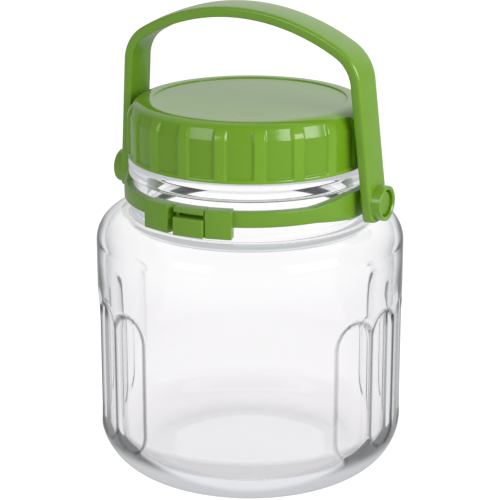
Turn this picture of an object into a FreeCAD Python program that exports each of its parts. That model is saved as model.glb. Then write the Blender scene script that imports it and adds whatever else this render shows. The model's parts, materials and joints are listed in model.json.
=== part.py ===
import FreeCAD, Part
import math
import os

# Glass storage jar with a screw lid, a neck strap and a swinging carry handle.
# Millimetres. +Z up, +X along the handle's pivot axis, -Y towards the strap's clasp.
# The origin is the centre of the base, on the surface the jar stands on.
# Angles round the jar are measured from -Y towards +X.

V = FreeCAD.Vector
UP = V(0, 0, 1)
ALONG_X = V(1, 0, 0)
ORIGIN = V(0, 0, 0)

# ---- cutting
# Cutting shapes run this far past the surface they cut.
cut_past = 5.0
# Points closer than this count as one place.
same_place = 0.02

# ---- glass body
body_radius = 69.5
wall = 4.0
floor_thickness = 6.5
heel_radius = 23.5
shoulder_radius = 13.6
shoulder_top_z = 120.2
shoulder_flat = 0.6
neck_fillet = 3.0
inner_neck_fillet = 4.0
neck_radius = body_radius - shoulder_radius - shoulder_flat - neck_fillet

# ---- pressed flutes in the glass
flute_pitch = 17.6
flutes_per_side = 5
flute_depth = 1.1
flute_rise = 6.5
flute_run = 41.7
flute_overlap = 0.25
panel_turn = 25.1
front_panel = 74.4
flute_low_z = heel_radius + flute_rise
flute_high_z = flute_low_z + flute_run

# ---- strap round the neck
strap_clearance = 0.2
strap_thickness = 4.0
strap_rise = 6.8
strap_height = 6.8
strap_edge = 0.5
strap_inner = neck_radius + strap_clearance
strap_outer = strap_inner + strap_thickness
strap_low_z = shoulder_top_z + strap_rise
strap_high_z = strap_low_z + strap_height

# ---- carrying bead and plain finish above the strap
bead_gap = 3.2
bead_height = 7.6
bead_reach = 2.2
bead_round = 2.0
finish_step = 1.5
finish_wall = 4.3
rim_round = 1.4
bead_radius = neck_radius + bead_reach
bead_low_z = strap_high_z + bead_gap
bead_high_z = bead_low_z + bead_height
finish_radius = neck_radius - finish_step
mouth_radius = finish_radius - finish_wall

# ---- lid
lid_seam = 0.9
lid_height = 25.5
lid_room = 0.8
lid_wall = 3.0
lid_corner = 8.5
lid_rim_width = 2.9
lid_dish = 0.6
lid_disc = 3.0
lid_lip = 1.7
grip_count = 20
grip_turn = 0.7
grip_panel_angle = 12.5
grip_depth = 0.9
lid_inner = finish_radius + lid_room
lid_radius = lid_inner + lid_wall
lid_bottom_z = bead_high_z + lid_seam
lid_top_z = lid_bottom_z + lid_height
lid_ceiling_z = lid_top_z - lid_dish - lid_disc

# ---- the strap's ears, one at each pivot
ear_drop = 2.2
ear_bead_clearance = 0.3
ear_flat_half = 10.0
ear_run_half = 28.5
ear_low_z = strap_low_z - ear_drop
ear_high_z = bead_low_z - ear_bead_clearance

# ---- clasp on the strap
clasp_drop = 4.6
clasp_lift = 0.8
clasp_back_extra = 0.5
clasp_proud = 3.0
clasp_catch_proud = 3.8
clasp_catch_height = 8.0
clasp_brow_height = 2.2
clasp_hook_start = -19.9
clasp_hook_end = -6.4
clasp_catch_start = -3.3
clasp_catch_end = 10.4
clasp_tail_start = 10.9
clasp_tail_end = 22.1
clasp_slit = 0.4
clasp_edge = 0.4
clasp_low_z = strap_low_z - clasp_drop
clasp_high_z = strap_high_z + clasp_lift

# ---- carry handle
pivot_rise = 4.5
leg_gap = 3.3
handle_splay = 5.15
handle_corner = 20.0
handle_crown = 99.4
hand_gap = 37.8
handle_width = 16.2
handle_thickness = 4.9
handle_outer_edge = 1.4
handle_inner_edge = 0.6
handle_lean = 3.2
leg_end = 7.75
leg_end_round = 3.0
pivot_z = strap_low_z + pivot_rise
handle_half_width = strap_outer + leg_gap + handle_thickness
handle_top_z = lid_top_z + hand_gap + handle_thickness

# ---- pivots
boss_radius = 7.75
boss_reach = 3.9
socket_radius = 5.9
socket_depth = 3.0
pin_radius = 3.2
pin_running_clearance = 0.05
pin_head_radius = 5.2
pin_head_thickness = 1.3
pin_head_gap = 0.3
boss_end_x = handle_half_width + boss_reach
socket_x = boss_end_x - socket_depth


def arc(cx, cz, radius, start, end):
    """An arc in the XZ plane; angles in degrees from +X towards +Z."""
    def point(angle):
        a = math.radians(angle)
        return V(cx + radius * math.cos(a), 0, cz + radius * math.sin(a))
    return Part.Arc(point(start), point((start + end) / 2), point(end)).toShape()


def chain(items):
    """A closed face from arcs and points, joined by straight lines where they do not meet."""
    edges = []
    ends = []
    for item in items:
        if isinstance(item, tuple):
            point = V(item[0], 0, item[1])
            ends.append((point, point, None))
        else:
            ends.append((item.valueAt(item.FirstParameter), item.valueAt(item.LastParameter), item))
    for i, (start, end, edge) in enumerate(ends):
        if edge is not None:
            edges.append(edge)
        following = ends[(i + 1) % len(ends)][0]
        if (following - end).Length > 1e-6:
            edges.append(Part.makeLine(end, following))
    return Part.Face(Part.Wire(Part.__sortEdges__(edges)))


def turned(items):
    """A solid of revolution round Z from a closed profile in the XZ plane."""
    return chain(items).revolve(ORIGIN, UP, 360)


def spun_to(shape, angle):
    """A copy of a shape drawn towards +X, moved to an angle measured from -Y."""
    copy = shape.copy()
    copy.rotate(ORIGIN, UP, angle - 90)
    return copy


def ring_sector(inner, outer, low, high, start, end):
    """Part of a ring between two angles."""
    face = chain([(inner, low), (outer, low), (outer, high), (inner, high)])
    return spun_to(face.revolve(ORIGIN, UP, end - start), start)


def x_cylinder(radius, start, end):
    """A round bar along +X at the pivots' height."""
    return Part.makeCylinder(radius, end - start, V(start, 0, pivot_z), ALONG_X)


def glass_blank():
    """The jar before its flutes are pressed in."""
    heel_r = body_radius - heel_radius
    shoulder_r = body_radius - shoulder_radius
    shoulder_z = shoulder_top_z - shoulder_radius
    inner_shoulder = shoulder_radius - wall
    inner_top = shoulder_top_z - wall
    inner_heel = heel_radius - wall
    rim_z = lid_ceiling_z
    inner_r = body_radius - wall
    return turned([
        (0, 0),
        arc(heel_r, heel_radius, heel_radius, -90, 0),
        arc(shoulder_r, shoulder_z, shoulder_radius, 0, 90),
        arc(neck_radius + neck_fillet, shoulder_top_z + neck_fillet, neck_fillet, 270, 180),
        (neck_radius, bead_low_z),
        arc(bead_radius - bead_round, bead_low_z + bead_round, bead_round, -90, 0),
        arc(bead_radius - bead_round, bead_high_z - bead_round, bead_round, 0, 90),
        (finish_radius, bead_high_z),
        arc(finish_radius - rim_round, rim_z - rim_round, rim_round, 0, 90),
        arc(mouth_radius + rim_round, rim_z - rim_round, rim_round, 90, 180),
        arc(mouth_radius + inner_neck_fillet, inner_top + inner_neck_fillet, inner_neck_fillet, 180, 270),
        arc(shoulder_r, shoulder_z, inner_shoulder, 90, 0),
        arc(inner_r - inner_heel, floor_thickness + inner_heel, inner_heel, 0, -90),
        (0, floor_thickness),
    ])


def flute_cutter():
    """One arch-ended flute, drawn towards +X, with a flat inner face."""
    face_x = body_radius - flute_depth
    half = face_x * math.tan(math.radians(flute_pitch / 2)) + flute_overlap
    reach = flute_depth + cut_past
    slot = Part.makeBox(reach, 2 * half, flute_high_z - flute_low_z, V(face_x, -half, flute_low_z))
    for z in (flute_low_z, flute_high_z):
        slot = slot.fuse(Part.makeCylinder(half, reach, V(face_x, 0, z), ALONG_X))
    return slot.removeSplitter()


def make_glass():
    """The clear jar: label panels front and back, flutes on both sides."""
    cutter = flute_cutter()
    cuts = []
    for side in (1, -1):
        for i in range(flutes_per_side):
            offset = front_panel / 2 + (i + 0.5) * flute_pitch
            cuts.append(spun_to(cutter, panel_turn + side * offset))
    return glass_blank().cut(cuts)


def make_lid():
    """The screw lid: a dished disc in a rounded rim, with wide shallow grips round its side."""
    corner_r = lid_radius - lid_corner
    dish_r = corner_r - lid_rim_width
    disc_top = lid_top_z - lid_dish
    lid = turned([
        (lid_inner, lid_bottom_z),
        (lid_radius, lid_bottom_z),
        arc(corner_r, lid_top_z - lid_corner, lid_corner, 0, 90),
        (dish_r, lid_top_z),
        (dish_r, disc_top),
        (0, disc_top),
        (0, lid_ceiling_z),
        (lid_inner, lid_ceiling_z),
    ])
    panel_low = lid_bottom_z + lid_lip
    panel_r = lid_radius - grip_depth
    pitch = 360.0 / grip_count
    outside = lid_radius + cut_past
    above = lid_top_z + cut_past
    panels = []
    for i in range(grip_count):
        start = grip_turn + i * pitch
        panels.append(ring_sector(panel_r, outside, panel_low, above, start, start + grip_panel_angle))
    return lid.cut(panels)


def strap_ears():
    """The strap's two taller stretches, one at each pivot."""
    height = ear_high_z - ear_low_z
    base = V(0, 0, ear_low_z)
    ring = Part.makeCylinder(strap_outer, height, base).cut(Part.makeCylinder(strap_inner, height, base))
    outline = [
        (-ear_run_half, strap_low_z), (-ear_flat_half, ear_low_z), (ear_flat_half, ear_low_z),
        (ear_run_half, strap_low_z), (ear_run_half, strap_high_z), (ear_flat_half, ear_high_z),
        (-ear_flat_half, ear_high_z), (-ear_run_half, strap_high_z),
    ]
    points = [V(-strap_outer, y, z) for y, z in outline]
    prism = Part.Face(Part.makePolygon(points + points[:1])).extrude(V(2 * strap_outer, 0, 0))
    return ring.common(prism)


def clasp_block(start, end, front, low, high):
    """A flat-fronted block on the clasp between two angles."""
    back = (strap_inner + strap_outer) / 2
    width = 2 * front * math.sin(math.radians((end - start) / 2))
    block = Part.makeBox(front - back, width, high - low, V(back, -width / 2, low))
    edges = [e for e in block.Edges if min(v.X for v in e.Vertexes) > front - same_place]
    return spun_to(block.makeFillet(clasp_edge, edges), (start + end) / 2)


def make_clasp():
    """The clasp: a hook block, a catch under a brow and a tail block on a taller backing."""
    back = ring_sector(strap_inner, strap_outer + clasp_back_extra, clasp_low_z, clasp_high_z,
                       clasp_hook_start, clasp_tail_end)
    front = strap_outer + clasp_proud
    catch_front = strap_outer + clasp_catch_proud
    catch = (clasp_catch_start, clasp_catch_end)
    return [
        back,
        clasp_block(clasp_hook_start, clasp_hook_end, front, clasp_low_z, clasp_high_z),
        clasp_block(*catch, catch_front, clasp_low_z, clasp_low_z + clasp_catch_height),
        clasp_block(*catch, front, clasp_high_z - clasp_brow_height, clasp_high_z),
        clasp_block(clasp_tail_start, clasp_tail_end, front, clasp_low_z, clasp_high_z),
    ]


def pivot_pin():
    """A headed pin standing out of the strap along +X."""
    head_x = socket_x + pin_head_gap
    shank = x_cylinder(pin_radius, (strap_inner + strap_outer) / 2, head_x)
    return shank.fuse(x_cylinder(pin_head_radius, head_x, head_x + pin_head_thickness))


def make_strap():
    """The neck strap: one open ring with ears, pivot pins and a clasp."""
    e = strap_edge
    ring = turned([
        (strap_inner, strap_low_z), (strap_outer - e, strap_low_z), (strap_outer, strap_low_z + e),
        (strap_outer, strap_high_z - e), (strap_outer - e, strap_high_z), (strap_inner, strap_high_z),
    ])
    pin = pivot_pin()
    strap = ring.fuse([strap_ears()] + make_clasp() + [pin, pin.mirror(ORIGIN, ALONG_X)])
    reach = strap_thickness + clasp_catch_proud + 2 * cut_past
    height = clasp_high_z - clasp_low_z + 2 * cut_past
    corner = V(strap_inner - cut_past, -clasp_slit / 2, clasp_low_z - cut_past)
    slit = Part.makeBox(reach, clasp_slit, height, corner)
    slit_angle = (clasp_catch_end + clasp_tail_start) / 2
    return strap.cut(spun_to(slit, slit_angle)).removeSplitter()


def handle_path(offset):
    """One side of the bail at an inward offset: leg foot, corner arc, crown arc (XZ plane, +X side)."""
    splay = math.radians(handle_splay)
    along = V(-math.sin(splay), 0, math.cos(splay))
    inward = V(-math.cos(splay), 0, -math.sin(splay))
    crown_centre = V(0, 0, handle_top_z - handle_crown)
    pivot = V(handle_half_width, 0, pivot_z)
    start = pivot + inward * handle_corner - crown_centre
    b = start.dot(along)
    c = start.dot(start) - (handle_crown - handle_corner) ** 2
    corner_centre = start + along * (-b + math.sqrt(b * b - c)) + crown_centre
    reach = corner_centre - crown_centre
    meet = math.degrees(math.atan2(reach.z, reach.x))
    foot = pivot - along * (leg_end + cut_past) + inward * offset
    corner = arc(corner_centre.x, corner_centre.z, handle_corner - offset, handle_splay, meet)
    crown = arc(0, crown_centre.z, handle_crown - offset, meet, 90)
    return foot, corner, crown


def round_long_edges(bail, offset, radius):
    """Rounds the bail's two long edges at one inward offset."""
    foot, corner, crown = handle_path(offset)
    marks = [foot]
    for edge in (corner, crown):
        marks += [edge.valueAt(edge.FirstParameter), edge.valueAt(edge.LastParameter)]

    def on_path(point):
        return min(math.hypot(abs(point.x) - m.x, point.z - m.z) for m in marks) < same_place

    chosen = []
    for edge in bail.Edges:
        ends = [edge.valueAt(edge.FirstParameter), edge.valueAt(edge.LastParameter)]
        if abs(ends[0].y - ends[1].y) < same_place and all(on_path(p) for p in ends):
            chosen.append(edge)
    return bail.makeFillet(radius, chosen)


def bail_strip():
    """The bowed strip before its feet are shaped."""
    edges = []
    feet = []
    for offset in (0, handle_thickness):
        foot, corner, crown = handle_path(offset)
        half = [Part.makeLine(foot, corner.valueAt(corner.FirstParameter)), corner, crown]
        edges += half + [e.mirror(ORIGIN, ALONG_X) for e in half]
        feet.append(foot)
    for sign in (1, -1):
        a, b = [V(sign * foot.x, 0, foot.z) for foot in feet]
        edges.append(Part.makeLine(a, b))
    face = Part.Face(Part.Wire(Part.__sortEdges__(edges)))
    face.translate(V(0, -handle_width / 2, 0))
    strip = face.extrude(V(0, handle_width, 0))
    strip = round_long_edges(strip, 0, handle_outer_edge)
    return round_long_edges(strip, handle_thickness, handle_inner_edge)


def foot_outline():
    """A tall block that trims both feet to length with rounded lower corners."""
    low = pivot_z - leg_end
    block = Part.makeBox(2 * boss_end_x, handle_width, handle_top_z,
                         V(-boss_end_x, -handle_width / 2, low))
    edges = [e for e in block.Edges
             if e.CenterOfMass.z < low + same_place and abs(e.Vertexes[0].X - e.Vertexes[1].X) > boss_end_x]
    return block.makeFillet(leg_end_round, edges)


def make_handle():
    """The bail: a bowed strip with a pivot boss at the foot of each leg."""
    bail = bail_strip().common(foot_outline())
    boss = x_cylinder(boss_radius, handle_half_width - handle_thickness / 2, boss_end_x)
    socket = x_cylinder(socket_radius, socket_x, boss_end_x + cut_past)
    hole = x_cylinder(pin_radius + pin_running_clearance, strap_outer, boss_end_x)
    bosses = [boss, boss.mirror(ORIGIN, ALONG_X)]
    cuts = [socket, hole, socket.mirror(ORIGIN, ALONG_X), hole.mirror(ORIGIN, ALONG_X)]
    bail = bail.fuse(bosses).cut(cuts).removeSplitter()
    bail.rotate(V(0, 0, pivot_z), ALONG_X, handle_lean)
    return bail


os.makedirs("parts", exist_ok=True)
make_glass().exportStep("parts/glass_jar.step")
make_lid().exportStep("parts/lid.step")
make_strap().exportStep("parts/strap.step")
make_handle().exportStep("parts/handle.step")
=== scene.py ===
"""A clear glass storage jar with a green screw lid, a clasped neck strap and a swinging carry handle."""

import json
import logging
import math
from dataclasses import dataclass, field
from enum import Enum

import bmesh
import bpy
from mathutils import Matrix, Vector


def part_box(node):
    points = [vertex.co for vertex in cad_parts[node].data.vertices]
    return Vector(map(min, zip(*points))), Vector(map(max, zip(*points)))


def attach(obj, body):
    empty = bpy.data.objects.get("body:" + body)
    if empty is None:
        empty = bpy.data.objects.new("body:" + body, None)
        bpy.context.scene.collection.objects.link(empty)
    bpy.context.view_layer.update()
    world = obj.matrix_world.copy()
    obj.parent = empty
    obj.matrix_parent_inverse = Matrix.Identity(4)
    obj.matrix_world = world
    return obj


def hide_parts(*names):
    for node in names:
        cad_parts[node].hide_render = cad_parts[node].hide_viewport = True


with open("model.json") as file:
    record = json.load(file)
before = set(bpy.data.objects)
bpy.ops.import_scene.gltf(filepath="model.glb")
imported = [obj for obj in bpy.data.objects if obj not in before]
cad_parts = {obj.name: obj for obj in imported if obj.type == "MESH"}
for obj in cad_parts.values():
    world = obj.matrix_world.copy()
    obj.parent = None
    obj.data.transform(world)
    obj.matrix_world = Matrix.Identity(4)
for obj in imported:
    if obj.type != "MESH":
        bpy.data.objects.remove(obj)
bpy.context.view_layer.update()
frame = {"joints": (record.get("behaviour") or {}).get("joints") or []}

MM = 0.001
TURN = 2 * math.pi
ORIGIN = Vector((0, 0, 0))
Y_AXIS = Vector((0, 1, 0))
Z_AXIS = Vector((0, 0, 1))
SEAM_TOLERANCE = 1e-6
CUT_PAST = 5 * MM
HAIR = 0.01 * MM
USUAL_PIVOT_Z = 131.5 * MM

Outline = list[tuple[float, float]]
Colour = tuple[float, float, float, float]
Solid = bmesh.types.BMesh
Piece = bpy.types.Object
Node = bpy.types.Node
Socket = bpy.types.NodeSocket

log = logging.getLogger("glass_jar")


class Body(Enum):
    """The moving bodies of the jar."""

    JAR = "jar"
    HANDLE = "handle"


class Cut(Enum):
    """Ways of working one solid with another."""

    JOIN = "UNION"
    REMOVE = "DIFFERENCE"


# ---- outlines and solids


def arc(centre: tuple[float, float], radius: float, start: float, end: float, steps: int) -> Outline:
    """Points along an arc, both ends included, with its angles in degrees from across towards up."""
    angles = [math.radians(start + (end - start) * i / steps) for i in range(steps + 1)]
    return [(centre[0] + radius * math.cos(a), centre[1] + radius * math.sin(a)) for a in angles]


def rows(start: tuple[float, float], end: tuple[float, float], spacing: float) -> Outline:
    """Evenly spaced points strictly between two points.

    Args:
        start: First point, left out.
        end: Last point, left out.
        spacing: The widest gap wanted.

    Returns:
        The points between.
    """
    count = max(1, math.ceil(math.dist(start, end) / spacing))
    return [
        (start[0] + (end[0] - start[0]) * i / count, start[1] + (end[1] - start[1]) * i / count)
        for i in range(1, count)
    ]


def smooth_step(value: float) -> float:
    """An even ease from 0 to 1 over the unit range."""
    t = min(1.0, max(0.0, value))
    return t * t * (3 - 2 * t)


def eased(levels: tuple[tuple[float, float], ...], place: float) -> float:
    """A value read off a run of levels, with an even ease between them.

    Args:
        levels: Places and their values, in rising order.
        place: Where to read.

    Returns:
        The value there, held past both ends.
    """
    for (low, before), (high, after) in zip(levels, levels[1:]):
        if place <= high:
            return before + (after - before) * smooth_step((place - low) / (high - low))
    return levels[-1][1]


def angle_round(point: Vector) -> float:
    """Degrees round the jar, from -Y towards +X."""
    return math.degrees(math.atan2(point.x, -point.y))


def push_to(vert: bmesh.types.BMVert, radius: float) -> None:
    """Moves a point straight in or out to a radius.

    Args:
        vert: The point.
        radius: Its new distance from the axis.
    """
    scale = radius / vert.co.xy.length
    vert.co.x *= scale
    vert.co.y *= scale


def place_round(angle: float) -> Matrix:
    """A turn about Z that takes +X to an angle measured from -Y towards +X."""
    return Matrix.Rotation(math.radians(angle - 90), 4, "Z")


def lay_outline(bm: Solid, outline: Outline, closed: bool) -> list[bmesh.types.BMEdge]:
    """Draws an outline in the XZ plane.

    Args:
        bm: Mesh to draw in.
        outline: Points across and up.
        closed: Whether the last point joins the first.

    Returns:
        The new edges.
    """
    points = [p for i, p in enumerate(outline) if i == 0 or math.dist(p, outline[i - 1]) > SEAM_TOLERANCE]
    verts = [bmesh.ops.create_vert(bm, co=(x, 0, z))["vert"][0] for x, z in points]
    pairs = list(zip(verts, verts[1:]))
    if closed:
        pairs.append((verts[-1], verts[0]))
    return [bmesh.ops.contextual_create(bm, geom=list(pair))["edges"][0] for pair in pairs]


def closed_up(bm: Solid) -> None:
    """Merges a solid's seams and turns its faces outwards."""
    bmesh.ops.remove_doubles(bm, verts=bm.verts, dist=SEAM_TOLERANCE)
    bmesh.ops.recalc_face_normals(bm, faces=bm.faces)


def turned(outline: Outline, steps: int, closed: bool = False) -> Solid:
    """A solid turned about Z.

    Args:
        outline: Points out from the axis and up.
        steps: Divisions round the circle.
        closed: True for a ring, false for an outline that starts and ends on the axis.

    Returns:
        The mesh, with its seam and poles closed and its faces outwards.
    """
    bm = bmesh.new()
    edges = lay_outline(bm, outline, closed)
    geom = list({v for e in edges for v in e.verts}) + edges
    slices = math.gcd(steps, 8)
    bmesh.ops.spin(bm, geom=geom, cent=ORIGIN, axis=Z_AXIS, angle=TURN / slices, steps=steps // slices,
                   use_merge=False)
    while slices > 1:
        slices //= 2
        half = bmesh.ops.duplicate(bm, geom=bm.verts[:] + bm.edges[:] + bm.faces[:])["geom"]
        verts = [item for item in half if isinstance(item, bmesh.types.BMVert)]
        bmesh.ops.rotate(bm, cent=ORIGIN, matrix=Matrix.Rotation(TURN / (2 * slices), 3, "Z"), verts=verts)
    closed_up(bm)
    return bm


def turned_sector(outline: Outline, start: float, end: float, steps: int) -> Solid:
    """Part of a ring between two angles, with closed ends.

    Args:
        outline: Closed section, out from the axis and up.
        start: First angle in degrees from -Y towards +X.
        end: Last angle in degrees.
        steps: Divisions along the sector.

    Returns:
        The mesh, with its faces outwards.
    """
    bm = bmesh.new()
    edges = lay_outline(bm, outline, closed=True)
    first = bmesh.ops.contextual_create(bm, geom=edges)["faces"]
    bmesh.ops.transform(bm, matrix=place_round(start), verts=bm.verts)
    geom = list(bm.verts) + list(bm.edges) + first
    sweep = math.radians(end - start)
    bmesh.ops.spin(bm, geom=geom, cent=ORIGIN, axis=Z_AXIS, angle=sweep, steps=steps, use_merge=False)
    bmesh.ops.remove_doubles(bm, verts=bm.verts, dist=SEAM_TOLERANCE)
    open_edges = [e for e in bm.edges if e.is_boundary]
    bmesh.ops.holes_fill(bm, edges=open_edges, sides=0)
    bmesh.ops.recalc_face_normals(bm, faces=bm.faces)
    return bm


def turned_about_pivot(outline: Outline, pivot_z: float, steps: int) -> Solid:
    """A solid turned about the handle's pivot line.

    Args:
        outline: Points out from the line and along +X.
        pivot_z: The line's height.
        steps: Divisions round the circle.

    Returns:
        The mesh on the +X side.
    """
    bm = turned(outline, steps)
    bmesh.ops.rotate(bm, cent=ORIGIN, matrix=Matrix.Rotation(math.radians(90), 3, "Y"), verts=bm.verts)
    bmesh.ops.translate(bm, vec=(0, 0, pivot_z), verts=bm.verts)
    return bm


def mirrored_in_x(bm: Solid) -> Solid:
    """A copy of a solid on the other side of the YZ plane.

    Args:
        bm: The solid, left as it is.

    Returns:
        The copy.
    """
    other = bm.copy()
    bmesh.ops.scale(other, vec=(-1, 1, 1), verts=other.verts)
    bmesh.ops.reverse_faces(other, faces=other.faces)
    return other


def rounded_box(size: Vector, corner: Vector, rounding: float, segments: int = 3) -> Solid:
    """A box with every edge rounded.

    Args:
        size: Its three sizes.
        corner: Its lowest corner.
        rounding: The edges' radius.
        segments: Steps over each edge.

    Returns:
        The mesh.
    """
    bm = bmesh.new()
    bmesh.ops.create_cube(bm, size=1)
    bmesh.ops.scale(bm, vec=size, verts=bm.verts)
    bmesh.ops.translate(bm, vec=corner + size / 2, verts=bm.verts)
    bmesh.ops.bevel(bm, geom=bm.edges[:], offset=rounding, offset_type="OFFSET", segments=segments,
                    profile=0.5, affect="EDGES", material=-1, clamp_overlap=True)
    return bm


def merge_into(bm: Solid, *others: Solid) -> None:
    """Adds other meshes to a mesh and frees them.

    Args:
        bm: The mesh that takes them in.
        others: The meshes that are added.
    """
    for other in others:
        spare = bpy.data.meshes.new("spare")
        other.to_mesh(spare)
        other.free()
        bm.from_mesh(spare)
        bpy.data.meshes.remove(spare)


def worked(bm: Solid, tool: Solid, cut: Cut) -> Solid:
    """Joins or removes one solid from another.

    Args:
        bm: The solid that is worked, freed here.
        tool: The other solid, freed here.
        cut: What is done.

    Returns:
        The new solid.
    """
    objects = []
    for source in (bm, tool):
        mesh = bpy.data.meshes.new("work")
        source.to_mesh(mesh)
        source.free()
        obj = bpy.data.objects.new("work", mesh)
        bpy.context.scene.collection.objects.link(obj)
        objects.append(obj)
    blank, cutter = objects
    modifier = blank.modifiers.new("cut", "BOOLEAN")
    modifier.operation = cut.value
    modifier.solver = "EXACT"
    modifier.object = cutter
    bpy.context.view_layer.update()
    result = bmesh.new()
    result.from_object(blank, bpy.context.evaluated_depsgraph_get())
    for obj in objects:
        mesh = obj.data
        bpy.data.objects.remove(obj)
        bpy.data.meshes.remove(mesh)
    bmesh.ops.remove_doubles(result, verts=result.verts, dist=SEAM_TOLERANCE)
    bmesh.ops.dissolve_degenerate(result, edges=result.edges, dist=SEAM_TOLERANCE)
    return result


def finished_piece(name: str, bm: Solid, material: bpy.types.Material, crease: float = 32.0) -> Piece:
    """Turns a mesh into a smooth-shaded object with crisp creases.

    Args:
        name: The piece's name.
        bm: Its mesh, freed here.
        material: Its finish.
        crease: Edges that fold by more than this many degrees stay sharp.

    Returns:
        The object, at the origin.
    """
    limit = math.radians(crease)
    for face in bm.faces:
        face.smooth = True
    for edge in bm.edges:
        edge.smooth = len(edge.link_faces) == 2 and edge.calc_face_angle() < limit
    mesh = bpy.data.meshes.new(name)
    bm.to_mesh(mesh)
    bm.free()
    mesh.materials.append(material)
    obj = bpy.data.objects.new(name, mesh)
    bpy.context.scene.collection.objects.link(obj)
    log.info("%s: %d faces", name, len(mesh.polygons))
    return obj


def stand_for(obj: Piece, body: Body, slot: str, *nodes: str) -> Piece:
    """Ties a piece to its body and hides the nodes it stands for.

    Args:
        obj: The piece.
        body: The body it moves with.
        slot: The record's material slot, not used.
        nodes: CAD nodes that it replaces.

    Returns:
        The piece.
    """
    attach(obj, body.value)
    if nodes:
        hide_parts(*nodes)
    return obj


# ---- finishes


@dataclass
class NodeSheet:
    """A short way of wiring one node tree."""

    tree: bpy.types.NodeTree

    def add(self, kind: str, **settings: object) -> Node:
        """Adds a node.

        Args:
            kind: The node's type name.
            settings: Its own settings, or socket values where the name matches a socket.

        Returns:
            The node.
        """
        node = self.tree.nodes.new(kind)
        for name, value in settings.items():
            if hasattr(node, name):
                setattr(node, name, value)
            else:
                node.inputs[name.replace("_", " ")].default_value = value
        return node

    def link(self, source: Socket, target: Socket) -> None:
        """Joins an output to an input."""
        self.tree.links.new(source, target)

    def feed(self, value: object, target: Socket) -> None:
        """Joins a socket to an input, or sets a number or colour on it.

        Args:
            value: A socket, a number or a colour.
            target: The input.
        """
        if isinstance(value, Socket):
            self.link(value, target)
        else:
            target.default_value = value

    def math(self, operation: str, *values: object) -> Socket:
        """One sum.

        Args:
            operation: The Math node's operation.
            values: Numbers or sockets.

        Returns:
            The result's socket.
        """
        node = self.add("ShaderNodeMath", operation=operation)
        for socket, value in zip(node.inputs, values):
            self.feed(value, socket)
        return node.outputs[0]

    def mix_colour(self, factor: Socket, first: object, second: object) -> Socket:
        """A colour between two, by a factor.

        Args:
            factor: 0 for the first and 1 for the second.
            first: The first colour, or its socket.
            second: The second colour, or its socket.

        Returns:
            The colour's socket.
        """
        node = self.add("ShaderNodeMix", data_type="RGBA")
        factor_in, first_in, second_in = (node.inputs[i] for i in (0, 6, 7))
        self.link(factor, factor_in)
        self.feed(first, first_in)
        self.feed(second, second_in)
        return node.outputs[2]

    def mix_shader(self, factor: Socket, first: Node, second: Node) -> Node:
        """A shader between two, by a factor.

        Args:
            factor: 0 for the first and 1 for the second.
            first: The first shader's node.
            second: The second shader's node.

        Returns:
            The mixing node.
        """
        node = self.add("ShaderNodeMixShader")
        for socket, source in zip(node.inputs, (factor, first.outputs[0], second.outputs[0])):
            self.link(source, socket)
        return node

    def ramp(self, value: Socket, start: float, end: float, low: float = 0.0, high: object = 1.0) -> Socket:
        """Maps one range of a value to another.

        Args:
            value: The value's socket.
            start: Where its range starts.
            end: Where its range ends.
            low: Result at the start.
            high: Result at the end, a number or a socket.

        Returns:
            The result's socket.
        """
        node = self.add("ShaderNodeMapRange")
        for socket, setting in zip(node.inputs, (value, start, end, low, high)):
            self.feed(setting, socket)
        return node.outputs["Result"]

    def spread(self, value: Socket, low: float, high: float) -> Socket:
        """Maps noise, which runs from about 0.3 to 0.7, to a range."""
        return self.ramp(value, 0.3, 0.7, low, high)

    def attribute(self, name: str) -> Socket:
        """A value kept on the piece's own points."""
        return self.add("ShaderNodeAttribute", attribute_name=name).outputs["Fac"]

    def facing(self) -> Socket:
        """How far the surface is turned edge on, from 0 to 1."""
        return self.add("ShaderNodeLayerWeight", Blend=0.5).outputs["Facing"]

    def noise(self, scale: float, detail: float = 2.0) -> Socket:
        """Noise over the piece's own coordinates.

        Args:
            scale: Features per metre.
            detail: Octaves.

        Returns:
            The noise value's socket.
        """
        place = self.add("ShaderNodeTexCoord")
        node = self.add("ShaderNodeTexNoise", Scale=scale, Detail=detail)
        self.link(place.outputs["Object"], node.inputs["Vector"])
        return node.outputs["Fac"]

    def relief(self, shader: Node, height: Socket, strength: float, depth: float) -> None:
        """Gives a shader a fine relief.

        Args:
            shader: The shader's node.
            height: The relief's socket.
            strength: How strongly it shows.
            depth: How deep it is.
        """
        bump = self.add("ShaderNodeBump", Strength=strength, Distance=depth)
        self.link(height, bump.inputs["Height"])
        self.link(bump.outputs[0], shader.inputs["Normal"])


def new_material(name: str) -> tuple[bpy.types.Material, NodeSheet, Node, Node]:
    """An empty node material.

    Args:
        name: Its name.

    Returns:
        The material, its node sheet, its main shader and its output.
    """
    material = bpy.data.materials.new(name)
    material.use_nodes = True
    sheet = NodeSheet(material.node_tree)
    sheet.tree.nodes.clear()
    shader = sheet.add("ShaderNodeBsdfPrincipled")
    output = sheet.add("ShaderNodeOutputMaterial")
    sheet.link(shader.outputs[0], output.inputs["Surface"])
    return material, sheet, shader, output


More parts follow.
